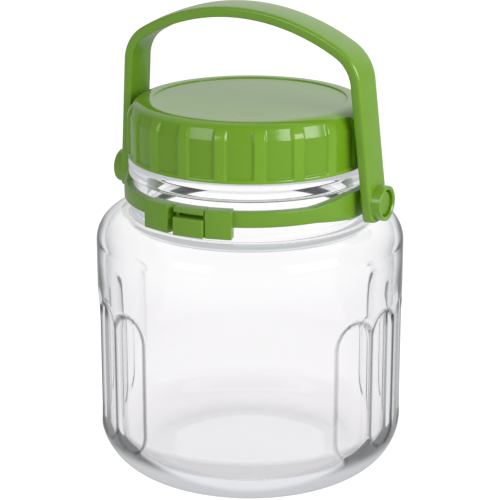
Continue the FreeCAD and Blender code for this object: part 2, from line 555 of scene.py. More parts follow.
@dataclass(frozen=True)
class MouldedPlastic:
    """Green moulded plastic with faint flow marks and a fine skin, satin and darkened by painted shade where
    it is pressed in.
    """

    name: str
    light: Colour
    deep: Colour
    roughness: float
    roughness_swing: float = 0.03
    flow_scale: float = 42.0
    skin_scale: float = 900.0
    skin_depth: float = 0.02 * MM
    skin_strength: float = 0.35
    ior: float = 1.52
    recess_attribute: str = ""
    # painted shade: how much darker the colour is in the pressed-in recesses
    painted_recess_shade: float = 0.93
    recess_roughness: float = 0.03

    def material(self) -> bpy.types.Material:
        """Builds the finish.

        Returns:
            The material.
        """
        material, sheet, shader, _ = new_material(self.name)
        flow = sheet.noise(self.flow_scale, 3)
        colour = sheet.mix_colour(sheet.spread(flow, 0, 1), self.light, self.deep)
        low = self.roughness - self.roughness_swing
        high = self.roughness + self.roughness_swing
        roughness = sheet.spread(sheet.noise(self.flow_scale * 3), low, high)
        if self.recess_attribute:
            recess = sheet.attribute(self.recess_attribute)
            # painted shade: the recesses' colour darkened; the added roughness below is a real satin finish
            shade = tuple(part * self.painted_recess_shade for part in self.deep[:3]) + (1,)
            colour = sheet.mix_colour(recess, colour, shade)
            satin = sheet.math("MULTIPLY", recess, self.recess_roughness)
            roughness = sheet.math("ADD", roughness, satin)
        sheet.link(colour, shader.inputs["Base Color"])
        sheet.link(roughness, shader.inputs["Roughness"])
        sheet.relief(shader, sheet.noise(self.skin_scale), self.skin_strength, self.skin_depth)
        shader.inputs["IOR"].default_value = self.ior
        return material


@dataclass(frozen=True)
class PressedGlass:
    """Clear pressed glass: faintly wavy, with painted shade along its pressed lines, round its heel and bead
    and where it is seen edge on, a painted grey by height, and a painted glow for light turned back inside
    its wall.
    """

    name: str = "clear_pressed_glass"
    clear: Colour = (0.985, 0.98, 0.984, 1)
    # painted shade: the glass is mixed towards this grey by height
    painted_grey_colour: Colour = (0.86, 0.845, 0.855, 1)
    # painted shade: the glass is mixed towards this grey where it is seen edge on
    edge: Colour = (0.6, 0.61, 0.63, 1)
    # painted shade: dark lines drawn along the flutes' edges
    painted_line_shade: Colour = (0.05, 0.05, 0.06, 1)
    line_shade_attribute: str = "painted_line_shade"
    ring_shade_attribute: str = "painted_ring_shade"
    # the painted line shade is full edge on and falls to line_faced where the glass is seen face on
    line_from: float = 0.18
    line_to: float = 0.5
    line_faced: float = 0.25
    painted_glow_attribute: str = "painted_edge_light"
    painted_grey_attribute: str = "painted_grey"
    # painted glow: colours for the light turned back inside the wall, which is not traced further
    painted_glow_dark: Colour = (0.0, 0.0, 0.0, 1)
    painted_glow_light: Colour = (0.98, 1.0, 1.03, 1)
    # the painted glow is at rim_inner where the wall is seen near face on, and at its level by height past
    # rim_to
    rim_from: float = 0.224
    rim_to: float = 0.244
    rim_inner: float = 0.86
    ior: float = 1.5
    wave_scale: float = 26.0
    wave_depth: float = 0.25 * MM
    wave_strength: float = 0.25
    patch_scale: float = 18.0
    patch_swing: float = 0.15
    polish_scale: float = 60.0
    polish: float = 0.012
    edge_shade_sharpness: float = 5.0
    lets_through: Colour = (0.94, 0.95, 0.95, 1)

    def tint(self, sheet: NodeSheet) -> Socket:
        """The glass's colour: clear, with a painted grey by height, painted shade edge on and painted shade
        where a pressed line is met from outside.

        Args:
            sheet: The material's node sheet.

        Returns:
            The colour's socket.
        """
        # noise varies the painted grey at random; its level by height is painted shade
        patches = sheet.spread(sheet.noise(self.patch_scale), 1 - self.patch_swing, 1 + self.patch_swing)
        painted_grey = sheet.math("MULTIPLY", sheet.attribute(self.painted_grey_attribute), patches)
        facing = sheet.facing()
        # painted shade: greyer towards the silhouette, where the glass is seen edge on
        edge_on_shade = sheet.math("POWER", facing, self.edge_shade_sharpness)
        edge_shaded = sheet.mix_colour(edge_on_shade, sheet.mix_colour(painted_grey, self.clear, self.painted_grey_colour), self.edge)
        slant = sheet.ramp(facing, self.line_from, self.line_to, self.line_faced)
        line_shade = sheet.math("MULTIPLY", sheet.attribute(self.line_shade_attribute), slant)
        drawn = sheet.math("MAXIMUM", line_shade, sheet.attribute(self.ring_shade_attribute))
        side = sheet.add("ShaderNodeNewGeometry")
        outside = sheet.math("SUBTRACT", 1.0, side.outputs["Backfacing"])
        return sheet.mix_colour(sheet.math("MULTIPLY", drawn, outside), edge_shaded, self.painted_line_shade)

    def painted_depth_glow(self, sheet: NodeSheet) -> Node:
        """A painted glow: the even grey that stands in for the light that runs on inside the wall, at its
        level there.

        Args:
            sheet: The material's node sheet.

        Returns:
            The shader's node.
        """
        glow = sheet.add("ShaderNodeEmission")
        slant = sheet.ramp(sheet.facing(), self.rim_from, self.rim_to)
        level = sheet.ramp(slant, 0.0, 1.0, self.rim_inner, sheet.attribute(self.painted_glow_attribute))
        sheet.link(sheet.mix_colour(level, self.painted_glow_dark, self.painted_glow_light), glow.inputs["Color"])
        return glow

    def material(self) -> bpy.types.Material:
        """Builds the finish.

        Returns:
            The material.
        """
        material, sheet, shader, output = new_material(self.name)
        sheet.link(self.tint(sheet), shader.inputs["Base Color"])
        sheet.link(sheet.spread(sheet.noise(self.polish_scale), 0.0, self.polish), shader.inputs["Roughness"])
        sheet.relief(shader, sheet.noise(self.wave_scale, 1), self.wave_strength, self.wave_depth)
        shader.inputs["IOR"].default_value = self.ior
        shader.inputs["Transmission Weight"].default_value = 1.0
        path = sheet.add("ShaderNodeLightPath")
        entered = sheet.math("GREATER_THAN", path.outputs["Transmission Depth"], 0.5)
        turned_back = sheet.math("GREATER_THAN", path.outputs["Glossy Depth"], 0.5)
        inside = sheet.math("MULTIPLY", entered, turned_back)
        lets_by = sheet.math("MAXIMUM", path.outputs["Is Shadow Ray"], path.outputs["Is Diffuse Ray"])
        open_air = sheet.add("ShaderNodeBsdfTransparent", Color=self.lets_through)
        # rays turned back inside the wall end on the painted glow instead of being traced further
        deep = sheet.mix_shader(inside, shader, self.painted_depth_glow(sheet))
        sheet.link(sheet.mix_shader(lets_by, deep, open_air).outputs[0], output.inputs["Surface"])
        return material


# ---- the jar's sub-assemblies


@dataclass
class GlassJar:
    """The clear body: a straight wall between a round heel and shoulder, a beaded neck and a plain finish."""

    radius: float
    rim_z: float
    wall: float = 4.0 * MM
    floor: float = 6.5 * MM
    heel: float = 23.5 * MM
    shoulder: float = 13.6 * MM
    shoulder_top: float = 120.2 * MM
    neck_radius: float = 52.3 * MM
    neck_fillet: float = 3.0 * MM
    inner_neck_fillet: float = 4.0 * MM
    bead_low: float = 137.0 * MM
    bead_high: float = 144.6 * MM
    bead_reach: float = 2.2 * MM
    bead_round: float = 2.0 * MM
    # painted shade: a dark ring line just under the top of the bead
    bead_shade_drop: float = 2.6 * MM
    bead_shade_width: float = 1.3 * MM
    bead_line_shade: float = 0.42
    finish_step: float = 1.5 * MM
    finish_wall: float = 4.3 * MM
    rim_round: float = 1.4 * MM
    flute_pitch: float = 17.6
    flutes_per_side: int = 5
    flute_depth: float = 1.1 * MM
    flute_rise: float = 6.5 * MM
    flute_run: float = 41.7 * MM
    flute_edge: float = 3.6 * MM
    flute_overlap: float = 0.25 * MM
    panel_turn: float = 25.1
    front_panel: float = 74.4
    row_spacing: float = 1.3 * MM
    bead_spacing: float = 0.4 * MM
    plain_spacing: float = 6.0 * MM
    inner_spacing: float = 20.0 * MM
    steps: int = 480
    heel_steps: int = 26
    shoulder_steps: int = 16
    fillet_steps: int = 8
    rim_steps: int = 6
    inner_shoulder_steps: int = 14
    inner_heel_steps: int = 18
    # strength of the painted shade line along each flute's edge
    line_shade_strength: float = 6.5
    # painted shade: a grey band over the thick heel
    heel_band_shade: float = 0.42
    # where the painted shades and painted glow levels start and end: in heel radii above the base, or in
    # shoulder radii below the shoulder's top
    band_fades: tuple[float, ...] = (0.7, 0.78, 1.03, 1.08)
    heel_fades: tuple[float, ...] = (0.2, 0.5)
    painted_grey_fades: tuple[float, ...] = (2.2, 1.0)
    shoulder_fades: tuple[float, ...] = (3.6, 3.2, 0.6, 0.3)
    wall_fade: float = 6.0 * MM
    # levels of the painted grey shade by height
    base_painted_grey: float = 0.95
    wall_painted_grey: float = 0.4
    # levels of the painted glow by height, standing in for light turned back inside the wall
    base_light: float = 0.66
    heel_light: float = 0.25
    wall_light: float = 0.42
    shoulder_light: float = 0.04
    neck_light: float = 0.6
    finish: PressedGlass = field(default_factory=PressedGlass)

    def outline(self) -> Outline:
        """The half section: base, outside, rim, inside and floor.

        Returns:
            Points out from the axis and up, from the base's middle to the floor's middle.
        """
        heel_r = self.radius - self.heel
        shoulder_r = self.radius - self.shoulder
        shoulder_z = self.shoulder_top - self.shoulder
        arch = self.radius * math.radians(self.flute_pitch / 2)
        flute_top = self.heel + self.flute_rise + self.flute_run + arch
        wall_rows_end = (self.radius, flute_top + 2 * self.row_spacing)
        fillet = (self.neck_radius + self.neck_fillet, self.shoulder_top + self.neck_fillet)
        bead_edge = self.neck_radius + self.bead_reach
        bead_r = bead_edge - self.bead_round
        bead_from, bead_to = self.bead_low + self.bead_round, self.bead_high - self.bead_round
        finish_r = self.neck_radius - self.finish_step
        mouth_r = finish_r - self.finish_wall
        inner_top = self.shoulder_top - self.wall
        inner_fillet = (mouth_r + self.inner_neck_fillet, inner_top + self.inner_neck_fillet)
        inner_heel = self.heel - self.wall
        inner_r = self.radius - self.wall
        inner_heel_r = inner_r - inner_heel
        rim_low = self.rim_z - self.rim_round
        return (
            [(0, 0)]
            + rows((0, 0), (heel_r, 0), heel_r / 3)
            + arc((heel_r, self.heel), self.heel, -90, 0, self.heel_steps)
            + rows((self.radius, self.heel), wall_rows_end, self.row_spacing)
            + [wall_rows_end]
            + rows(wall_rows_end, (self.radius, shoulder_z), self.plain_spacing)
            + arc((shoulder_r, shoulder_z), self.shoulder, 0, 90, self.shoulder_steps)
            + arc(fillet, self.neck_fillet, 270, 180, self.fillet_steps)
            + rows((self.neck_radius, fillet[1]), (self.neck_radius, self.bead_low), self.plain_spacing)
            + [(self.neck_radius, self.bead_low)]
            + arc((bead_r, bead_from), self.bead_round, -90, 0, self.fillet_steps)
            + rows((bead_edge, bead_from), (bead_edge, bead_to), self.bead_spacing)
            + arc((bead_r, bead_to), self.bead_round, 0, 90, self.fillet_steps)
            + [(finish_r, self.bead_high)]
            + arc((finish_r - self.rim_round, rim_low), self.rim_round, 0, 90, self.rim_steps)
            + arc((mouth_r + self.rim_round, rim_low), self.rim_round, 90, 180, self.rim_steps)
            + rows((mouth_r, rim_low), (mouth_r, inner_fillet[1]), self.inner_spacing / 2)
            + arc(inner_fillet, self.inner_neck_fillet, 180, 270, self.fillet_steps)
            + arc((shoulder_r, shoulder_z), self.shoulder - self.wall, 90, 0, self.inner_shoulder_steps)
            + rows((inner_r, shoulder_z), (inner_r, self.floor + inner_heel), self.inner_spacing)
            + arc((inner_heel_r, self.floor + inner_heel), inner_heel, 0, -90, self.inner_heel_steps)
            + rows((inner_heel_r, self.floor), (0, self.floor), inner_heel_r / 3)
            + [(0, self.floor)]
        )

    def pressing(self, angle: float, z: float, radius: float) -> tuple[float, float]:
        """The wall at a place once the flutes are pressed in.

        Args:
            angle: Degrees round the jar.
            z: Height.
            radius: The radius before pressing.

        Returns:
            The radius after, and how much painted line shade the flute's edge puts on the place, from 0 to 1.
        """
        face = self.radius - self.flute_depth
        half = face * math.tan(math.radians(self.flute_pitch / 2)) + self.flute_overlap
        low = self.heel + self.flute_rise
        high = low + self.flute_run
        pressed = radius
        line_shade = 0.0
        for side in (1, -1):
            for i in range(self.flutes_per_side):
                centre = self.panel_turn + side * (self.front_panel / 2 + (i + 0.5) * self.flute_pitch)
                off = (angle - centre + 180) % 360 - 180
                if abs(off) > self.flute_pitch:
                    continue
                across = radius * math.sin(math.radians(off))
                beyond = max(0.0, z - high, low - z)
                share = smooth_step(0.5 + (half - math.hypot(across, beyond)) / self.flute_edge)
                flat = min(radius, face / math.cos(math.radians(off)))
                pressed = min(pressed, radius + (flat - radius) * share)
                # painted shade: a dark line along the flute's edge
                line_shade = max(line_shade, min(1.0, self.line_shade_strength * share * (1 - share)))
        return pressed, line_shade

    def painted_heel_band(self, z: float) -> float:
        """How much of the painted grey shade band over the thick heel a height gets, from 0 to 1."""
        shades = (0.0, self.heel_band_shade, self.heel_band_shade, 0.0)
        return eased(tuple((self.heel * share, shade) for share, shade in zip(self.band_fades, shades)), z)

    def painted_bead_ring(self, z: float, radius: float) -> float:
        """How much of the painted shade line round the bead a place gets, from 0 to 1."""
        off = abs(z - self.bead_high + self.bead_shade_drop) / self.bead_shade_width
        return self.bead_line_shade * (1 - smooth_step(off)) if radius > self.neck_radius else 0.0

    def painted_edge_light(self, z: float) -> float:
        """The level of the painted glow that stands in for light turned back inside the wall, where the wall
        is seen edge on, at a height.

        Args:
            z: The height.

        Returns:
            The level, from 0 for dark to 1 for light.
        """
        base_to, heel_from = (self.heel * share for share in self.heel_fades)
        wall_to, shoulder_from, shoulder_to, neck_from = (
            self.shoulder_top - share * self.shoulder for share in self.shoulder_fades
        )
        levels = (
            (0.0, self.base_light),
            (base_to, self.base_light),
            (heel_from, self.heel_light),
            (self.heel, self.heel_light),
            (self.heel + self.flute_rise + self.wall_fade, self.wall_light),
            (wall_to, self.wall_light),
            (shoulder_from, self.shoulder_light),
            (shoulder_to, self.shoulder_light),
            (neck_from, self.neck_light),
            (self.rim_z, self.neck_light),
        )
        return eased(levels, z)

    def painted_grey(self, z: float) -> float:
        """How much painted grey shade the glass gets at a height: most in the thick base, least in the
        shoulder and neck.

        Args:
            z: The height.

        Returns:
            The share of painted grey, from 0 to 1.
        """
        wall_to, clear_from = (self.shoulder_top - share * self.shoulder for share in self.painted_grey_fades)
        levels = (
            (0.0, self.base_painted_grey),
            (self.floor, self.base_painted_grey),
            (self.heel, self.wall_painted_grey),
            (wall_to, self.wall_painted_grey),
            (clear_from, 0.0),
            (self.rim_z, 0.0),
        )
        return eased(levels, z)

    def build(self) -> Solid:
        """Turns the body and presses its flutes.

        Returns:
            The mesh, with its painted line and ring shades, its painted grey and its painted glow levels kept
            on its points.
        """
        bm = turned(self.outline(), self.steps)
        line_shades = bm.verts.layers.float.new(self.finish.line_shade_attribute)
        ring_shades = bm.verts.layers.float.new(self.finish.ring_shade_attribute)
        face = self.radius - self.flute_depth
        painted_glow_levels = bm.verts.layers.float.new(self.finish.painted_glow_attribute)
        painted_greys = bm.verts.layers.float.new(self.finish.painted_grey_attribute)
        for vert in bm.verts:
            vert[painted_glow_levels] = self.painted_edge_light(vert.co.z)
            vert[painted_greys] = self.painted_grey(vert.co.z)
            radius = vert.co.xy.length
            if radius < face:
                vert[ring_shades] = self.painted_bead_ring(vert.co.z, radius)
                continue
            pressed, line_shade = self.pressing(angle_round(vert.co), vert.co.z, radius)
            push_to(vert, pressed)
            vert[line_shades] = line_shade
            vert[ring_shades] = self.painted_heel_band(vert.co.z)
        return bm

    def dress(self) -> Piece:
        """Finishes the body and ties it to the frame."""
        piece = finished_piece("pressed_glass_body", self.build(), self.finish.material())
        return stand_for(piece, Body.JAR, "clear_glass", "glass_jar")


@dataclass
class Lid:
    """The screw lid: a dished disc in a rounded rim, with wide recessed grips between narrow ribs."""

    radius: float
    low: float
    high: float
    wall: float = 3.0 * MM
    corner: float = 8.5 * MM
    rim_width: float = 2.9 * MM
    rim_round: float = 0.3 * MM
    dish: float = 0.6 * MM
    dish_fillet: float = 0.25 * MM
    disc: float = 3.0 * MM
    lip: float = 1.7 * MM
    grips: int = 20
    grip_turn: float = 0.7
    grip_angle: float = 12.5
    grip_depth: float = 0.9 * MM
    grip_edge: float = 0.9
    slope_low: float = 163.6 * MM
    slope_high: float = 168.7 * MM
    foot: float = 0.4 * MM
    step: float = 0.3 * MM
    side_spacing: float = 8.0 * MM
    steps: int = 720
    corner_steps: int = 26
    dish_steps: int = 5
    foot_steps: int = 4
    finish: MouldedPlastic = MouldedPlastic(
        "lid_green", (0.185, 0.39, 0.018, 1), (0.17, 0.365, 0.014, 1), 0.14, ior=1.48, recess_attribute="grip"
    )

    def outline(self) -> Outline:
        """The half section: disc, rim, side and the hollow under it.

        Returns:
            Points out from the axis and up, from the disc's middle to the ceiling's middle.
        """
        corner_r = self.radius - self.corner
        dish_r = corner_r - self.rim_width
        disc_top = self.high - self.dish
        inner = self.radius - self.wall
        ceiling = disc_top - self.disc
        corner_z = self.high - self.corner
        lip_z = self.low + self.lip
        fillet = self.dish_fillet
        fillet_r = dish_r - fillet
        rim = (dish_r + self.rim_round, self.high - self.rim_round)
        foot_z = self.low + self.foot
        return (
            [(0, disc_top)]
            + rows((0, disc_top), (fillet_r, disc_top), dish_r / 5)
            + arc((fillet_r, disc_top + fillet), fillet, -90, 0, self.dish_steps)
            + arc(rim, self.rim_round, 180, 90, self.dish_steps)
            + arc((corner_r, corner_z), self.corner, 90, 0, self.corner_steps)
            + rows((self.radius, corner_z), (self.radius, lip_z + 2 * self.step), self.wall)
            + [(self.radius, lip_z + i * self.step) for i in (2, 1, 0, -1)]
            + arc((self.radius - self.foot, foot_z), self.foot, 0, -90, self.foot_steps)
            + arc((inner + self.foot, foot_z), self.foot, -90, -180, self.foot_steps)
            + rows((inner, foot_z), (inner, ceiling), self.side_spacing)
            + [(inner, ceiling)]
            + rows((inner, ceiling), (0, ceiling), inner / 4)
            + [(0, ceiling)]
        )

    def grip_radius(self, z: float) -> float:
        """The radius inside a grip at a height: upright, then sloping in to the rounded rim.

        Args:
            z: The height.

        Returns:
            The radius.
        """
        side = self.radius - self.grip_depth
        rise = self.slope_high - (self.high - self.corner)
        top = self.radius - self.corner + math.sqrt(self.corner**2 - rise**2)
        share = (z - self.slope_low) / (self.slope_high - self.slope_low)
        if share >= 1:
            return self.radius
        return side + (top - side) * max(0.0, share)

    def grip_share(self, angle: float, z: float) -> float:
        """How far the side is pressed in at a place, from 0 on a rib to 1 in a grip.

        Args:
            angle: Degrees round the lid.
            z: The height.

        Returns:
            The share.
        """
        pitch = 360 / self.grips
        along = (angle - 90 - self.grip_turn) % pitch
        inside = min(along, self.grip_angle - along)
        rise = (z - self.low - self.lip) / (2 * self.step)
        return smooth_step(0.5 + inside / self.grip_edge) * smooth_step(0.5 + rise)

    def build(self) -> Solid:
        """Turns the lid and presses its grips.

        Returns:
            The mesh, with its grips kept on its points.
        """
        bm = turned(self.outline(), self.steps)
        pressed = bm.verts.layers.float.new(self.finish.recess_attribute)
        inside = self.radius - self.wall + self.foot / 2
        for vert in bm.verts:
            radius = vert.co.xy.length
            grip_r = self.grip_radius(vert.co.z)
            if radius <= grip_r or radius < inside:
                continue
            share = self.grip_share(angle_round(vert.co), vert.co.z)
            vert[pressed] = share
            push_to(vert, radius + (grip_r - radius) * share)
        return bm

    def dress(self) -> Piece:
        """Finishes the lid and ties it to the frame."""
        piece = finished_piece("screw_lid", self.build(), self.finish.material())
        return stand_for(piece, Body.JAR, "green_lid", "lid")


@dataclass
class NeckStrap:
    """The strap round the neck: a ring with two ears and their pivot pins, and the clasp that closes it."""

    pivot_z: float
    low: float = 127.0 * MM
    high: float = 133.8 * MM
    inner: float = 52.5 * MM
    outer: float = 56.5 * MM
    edge: float = 0.5 * MM
    ear_low: float = 124.8 * MM
    ear_high: float = 136.7 * MM
    ear_flat: float = 10.0 * MM
    ear_run: float = 28.5 * MM
    clasp_low: float = 122.4 * MM
    clasp_high: float = 134.6 * MM
    clasp_outer: float = 57.0 * MM
    block_front: float = 59.5 * MM
    catch_front: float = 60.3 * MM
    catch_height: float = 8.0 * MM
    brow_height: float = 2.2 * MM
    bridge: float = 1.4 * MM
    recess_in: float = 1.5
    hook: tuple[float, float] = (-19.9, -6.4)
    catch: tuple[float, float] = (-3.3, 10.4)
    tail: tuple[float, float] = (10.9, 22.1)
    block_edge: float = 0.4 * MM
    pin_radius: float = 3.2 * MM
    head_radius: float = 5.2 * MM
    head_x: float = 65.9 * MM
    head_thickness: float = 1.3 * MM
    head_edge: float = 0.35 * MM
    pin_root: float = 1.0 * MM
    ring_steps: int = 320
    corner_steps: int = 3
    pin_steps: int = 64
    head_steps: int = 4
    finish: MouldedPlastic = MouldedPlastic(
        "strap_green", (0.164, 0.348, 0.02, 1), (0.147, 0.318, 0.016, 1), 0.3
    )

    def section(self, outer: float, low: float, high: float, edge: float) -> Outline:
        """A ring's rectangular section with rounded corners.

        Args:
            outer: Outer radius.
            low: Lower edge.
            high: Upper edge.
            edge: The corners' radius.

        Returns:
            The closed outline.
        """
        corners = (
            ((outer - edge, low + edge), -90),
            ((outer - edge, high - edge), 0),
            ((self.inner + edge, high - edge), 90),
            ((self.inner + edge, low + edge), 180),
        )
        return [
            point
            for centre, start in corners
            for point in arc(centre, edge, start, start + 90, self.corner_steps)
        ]

    def ear_share(self, y: float) -> float:
        """How far the strap has widened into an ear, from 0 to 1."""
        return min(1.0, max(0.0, (self.ear_run - abs(y)) / (self.ear_run - self.ear_flat)))

    def ring(self) -> Solid:
        """The strap from one side of the clasp to the other, with its ears.

        Returns:
            The mesh.
        """
        section = self.section(self.outer, self.low, self.high, self.edge)
        bm = turned_sector(section, self.tail[1], 360 + self.hook[0], self.ring_steps)
        middle = (self.low + self.high) / 2
        for vert in bm.verts:
            share = self.ear_share(vert.co.y)
            if vert.co.z < middle:
                vert.co.z += (self.ear_low - self.low) * share
            else:
                vert.co.z += (self.ear_high - self.high) * share
        return bm

    def block(self, span: tuple[float, float], front: float, low: float, high: float) -> Solid:
        """A flat-fronted block on the clasp.

        Args:
            span: First and last angle.
            front: Distance of its front from the axis.
            low: Lower edge.
            high: Upper edge.

        Returns:
            The mesh.
        """
        back = (self.inner + self.outer) / 2
        width = 2 * front * math.sin(math.radians((span[1] - span[0]) / 2))
        size = Vector((front - back, width, high - low))
        bm = rounded_box(size, Vector((back, -width / 2, low)), self.block_edge)
        bmesh.ops.transform(bm, matrix=place_round(sum(span) / 2), verts=bm.verts)
        return bm

    def backing(self, start: float, end: float) -> Solid:
        """The taller band behind the clasp's blocks, between two angles."""
        section = self.section(self.clasp_outer, self.clasp_low, self.clasp_high, self.block_edge)
        return turned_sector(section, start, end, max(4, round(end - start)))

    def clasp_front(self) -> Solid:
        """The clasp's larger half: the hook block, and the catch under its brow.

        Returns:
            The mesh.
        """
        bm = self.backing(self.hook[0], self.catch[1])
        past = self.catch_front + self.bridge
        catch_top = self.clasp_low + self.catch_height
        brow_low = self.clasp_high - self.brow_height
        slit = (self.hook[1], self.catch[0])
        recess = (self.catch[0] + self.recess_in, self.catch[1] - self.recess_in)
        slots = (
            self.block(slit, past, self.clasp_low - self.bridge, self.clasp_high - self.bridge),
            self.block(recess, past, catch_top, brow_low),
        )
        blocks = (
            self.block(self.hook, self.block_front, self.clasp_low, self.clasp_high),
            self.block(self.catch, self.catch_front, self.clasp_low, catch_top),
            self.block(self.catch, self.block_front, brow_low, self.clasp_high),
        )
        for slot in slots:
            bm = worked(bm, slot, Cut.REMOVE)
        for block in blocks:
            bm = worked(bm, block, Cut.JOIN)
        return bm

    def clasp_tail(self) -> Solid:
        """The clasp's end past the slit."""
        block = self.block(self.tail, self.block_front, self.clasp_low, self.clasp_high)
        return worked(self.backing(*self.tail), block, Cut.JOIN)

    def pins(self) -> Solid:
        """The two headed pins that carry the handle.

        Returns:
            One mesh that holds both.
        """
        tip = self.head_x + self.head_thickness
        root = self.outer - self.pin_root
        rim = (self.head_radius - self.head_edge, tip - self.head_edge)
        outline = (
            [(0, root), (self.pin_radius, root), (self.pin_radius, self.head_x)]
            + [(self.head_radius, self.head_x)]
            + arc(rim, self.head_edge, 0, 90, self.head_steps)
            + [(0, tip)]
        )
        bm = turned_about_pivot(outline, self.pivot_z, self.pin_steps)
        merge_into(bm, mirrored_in_x(bm))
        return bm

    def dress(self) -> list[Piece]:
        """Finishes the strap's pieces and ties them to the frame.

        Returns:
            The ring, the clasp's two pieces and the pins.
        """
        material = self.finish.material()
        pieces = {
            "neck_strap_ring": self.ring(),
            "clasp_hook_and_catch": self.clasp_front(),
            "clasp_tail": self.clasp_tail(),
            "handle_pivot_pins": self.pins(),
        }
        return [
            stand_for(finished_piece(name, bm, material), Body.JAR, "green_strap", "strap")
            for name, bm in pieces.items()
        ]


@dataclass
class CarryHandle:
    """The bail: a bowed strip with a hollow pivot boss at the foot of each leg."""

    pivot_z: float
    half_width: float = 64.7 * MM
    top_z: float = 213.7 * MM
    width: float = 16.2 * MM
    thickness: float = 4.9 * MM
    splay: float = 5.15
    corner: float = 20.0 * MM
    crown: float = 99.4 * MM
    lean: float = 3.2
    outer_edge: float = 1.4 * MM
    crown_drop: float = 0.4 * MM
    inner_edge: float = 0.6 * MM
    foot: float = 7.75 * MM
    foot_round: float = 3.0 * MM
    boss_radius: float = 7.75 * MM
    boss_end: float = 68.6 * MM
    boss_edge: float = 0.5 * MM
    socket_radius: float = 5.9 * MM
    socket_x: float = 65.6 * MM
    hole_radius: float = 3.25 * MM
    leg_row: float = 4.0 * MM
    outer_steps: int = 6
    inner_steps: int = 3
    edge_steps: int = 4
    bend_steps: int = 14
    crown_steps: int = 44
    boss_steps: int = 72
    finish: MouldedPlastic = MouldedPlastic(
        "handle_green", (0.175, 0.37, 0.016, 1), (0.155, 0.34, 0.013, 1), 0.22, ior=1.62
    )

    def section(self) -> Outline:
        """The strip's section: depth inwards from its outer face, and width.

        Returns:
            The closed outline.
        """
        half = self.width / 2
        edge = self.outer_edge
        outer = arc((edge, half - edge), edge, 180, 90, self.outer_steps)
        inner_corner = (self.thickness - self.inner_edge, half - self.inner_edge)
        inner = arc(inner_corner, self.inner_edge, 90, 0, self.inner_steps)
        crown = [(0.0, across * (half - edge)) for across in (0.0, 0.25, 0.5, 0.75)]
        side = [
            (depth + self.crown_drop * (across / half) ** 2 * (1 - depth / self.thickness), across)
            for depth, across in crown + outer + inner
        ]
        return side + [(depth, -across) for depth, across in reversed(side[1:])]

    def half_bail(self) -> Solid:
        """One leg, its corner and half of the crown, upright and on the +X side.

        Returns:
            The mesh, open where it meets its other half.
        """
        slope = math.radians(self.splay)
        along = Vector((-math.sin(slope), 0, math.cos(slope)))
        inward = Vector((-math.cos(slope), 0, -math.sin(slope)))
        pivot = Vector((self.half_width, 0, self.pivot_z))
        crown_centre = Vector((0, 0, self.top_z - self.crown))
        start = pivot + inward * self.corner - crown_centre
        lead = start.dot(along)
        rise = math.sqrt(lead * lead - start.dot(start) + (self.crown - self.corner) ** 2) - lead
        corner_centre = crown_centre + start + along * rise
        reach = corner_centre - crown_centre
        meet = math.atan2(reach.z, reach.x)

        bm = bmesh.new()
        foot = pivot - along * self.foot
        verts = [
            bmesh.ops.create_vert(bm, co=foot + inward * depth + Y_AXIS * across)["vert"][0]
            for depth, across in self.section()
        ]
        face = bmesh.ops.contextual_create(bm, geom=verts)["faces"][0]
        heights = [self.foot_round * (1 - math.cos(math.radians(a))) for a in range(0, 91, 15)]
        heights += [self.foot + away for away in (-self.leg_row, 0, self.leg_row, rise)]
        width = self.width / 2
        bmesh.ops.scale(bm, vec=(1, 1 - self.foot_round / width, 1), verts=face.verts)
        for low, high in zip(heights, heights[1:]):
            shrink = [self.foot_shrink(h) for h in (low, high)]
            made = bmesh.ops.extrude_face_region(bm, geom=[face])["geom"]
            bmesh.ops.delete(bm, geom=[face], context="FACES_ONLY")
            face = next(g for g in made if isinstance(g, bmesh.types.BMFace))
            bmesh.ops.translate(bm, vec=along * (high - low), verts=face.verts)
            bmesh.ops.scale(bm, vec=(1, shrink[1] / shrink[0], 1), verts=face.verts)
        face = self.bend(bm, face, corner_centre, meet - slope, self.bend_steps)
        face = self.bend(bm, face, crown_centre, math.pi / 2 - meet, self.crown_steps)
        bmesh.ops.delete(bm, geom=[face], context="FACES_ONLY")
        foot_edges = [e for e in bm.edges if e.is_boundary and e.verts[0].co.z < self.pivot_z]
        bmesh.ops.holes_fill(bm, edges=foot_edges, sides=0)
        return bm

    def foot_shrink(self, height: float) -> float:
        """The foot's share of its full width at a height above its end.

        Args:
            height: The height along the leg.

        Returns:
            The share.
        """
        below = max(0.0, self.foot_round - height)
        cut = self.foot_round - math.sqrt(self.foot_round**2 - below**2)
        return 1 - cut / (self.width / 2)

    def bend(
        self, bm: Solid, face: bmesh.types.BMFace, centre: Vector, angle: float, steps: int
    ) -> bmesh.types.BMFace:
        """Carries the strip on round a bend.

        Args:
            bm: The strip's mesh.
            face: Its open end.
            centre: The bend's centre.
            angle: How far it turns.
            steps: Divisions.

        Returns:
            The new open end.
        """
        geom = list(face.verts) + list(face.edges) + [face]
        made = bmesh.ops.spin(
            bm, geom=geom, cent=centre, axis=-Y_AXIS, angle=angle, steps=steps, use_merge=False
        )
        return next(g for g in made["geom_last"] if isinstance(g, bmesh.types.BMFace))

    def bail(self) -> Solid:
        """The whole strip, upright.

        Returns:
            The mesh.
        """
        bm = self.half_bail()
        bmesh.ops.mirror(bm, geom=bm.verts[:] + bm.edges[:] + bm.faces[:], axis="X", merge_dist=HAIR)
        closed_up(bm)
        return bm

    def boss(self) -> Solid:
        """A solid round boss on the +X side.

        Returns:
            The mesh.
        """
        start = self.half_width - self.thickness / 2
        rim = self.boss_radius - self.boss_edge
        outline = (
            [(0, start), (self.boss_radius, start)]
            + arc((rim, self.boss_end - self.boss_edge), self.boss_edge, 0, 90, self.edge_steps)
            + [(0, self.boss_end)]
        )
        return turned_about_pivot(outline, self.pivot_z, self.boss_steps)

